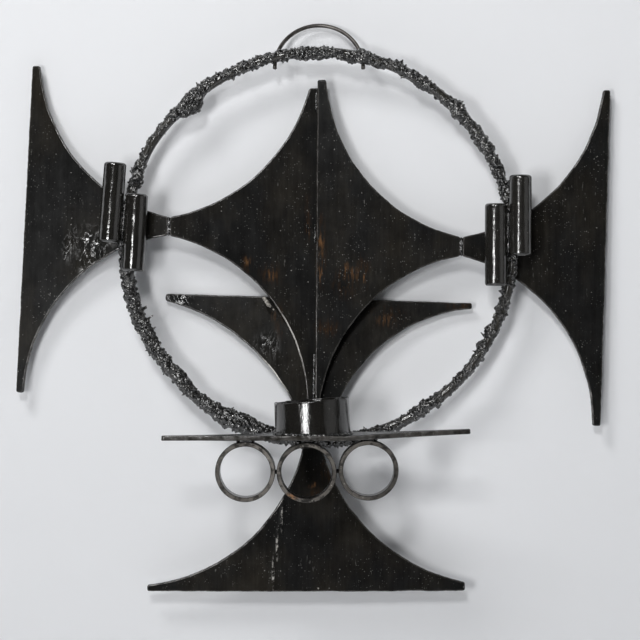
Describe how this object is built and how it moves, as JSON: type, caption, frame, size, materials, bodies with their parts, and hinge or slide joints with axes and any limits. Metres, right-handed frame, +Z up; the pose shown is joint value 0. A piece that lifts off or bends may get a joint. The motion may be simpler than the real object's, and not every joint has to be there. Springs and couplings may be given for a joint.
{
  "type": "candle wall sconce",
  "caption": "Wall-hung candle sconce of torch-cut hollow-sided steel plates welded to a weld-crusted hoop, with rods, a pipe cup on a shelf and pipe slices below.",
  "frame": {"origin": "the point on the wall behind the underside of the hanging loop's crown", "axes": "+X to the viewer's right along the wall, +Y into the wall, +Z up"},
  "size_m": [0.6001, 0.1334, 0.5721],
  "materials": {
    "plate": "glossy black lacquer over brown heat patina",
    "rod": "dark drawn bar under clear lacquer",
    "pipe": "satin sawn pipe under clear lacquer",
    "wire": "satin wire",
    "hoop": "glossy dark gunmetal",
    "weld": "rough sparkling weld metal under lacquer"
  },
  "bodies": {
    "root": {"main_ring": "hoop", "ring_weld_crust": "weld", "left_wing_plate": "plate", "right_wing_plate": "plate", "centre_left_blade": "plate", "centre_right_blade": "plate", "leaf_plate": "plate", "bottom_blade": "plate", "shelf_plate": "plate", "candle_cup": "plate", "pipe_ring_left": "pipe", "pipe_ring_centre": "pipe", "pipe_ring_right": "pipe", "rod_left_outer": "rod", "rod_left_inner": "rod", "rod_right_inner": "rod", "rod_right_outer": "rod", "hanger_loop": "wire", "left_tip_weld": "weld", "right_tip_weld": "weld", "spine_weld": "weld", "leaf_spine_weld": "weld", "cup_weld": "weld", "pipe_ring_welds": "weld", "left_rod_welds": "weld", "right_rod_welds": "weld", "hanger_welds": "weld", "shelf_weld": "weld", "bottom_blade_weld": "weld"}
  },
  "joints": []
}
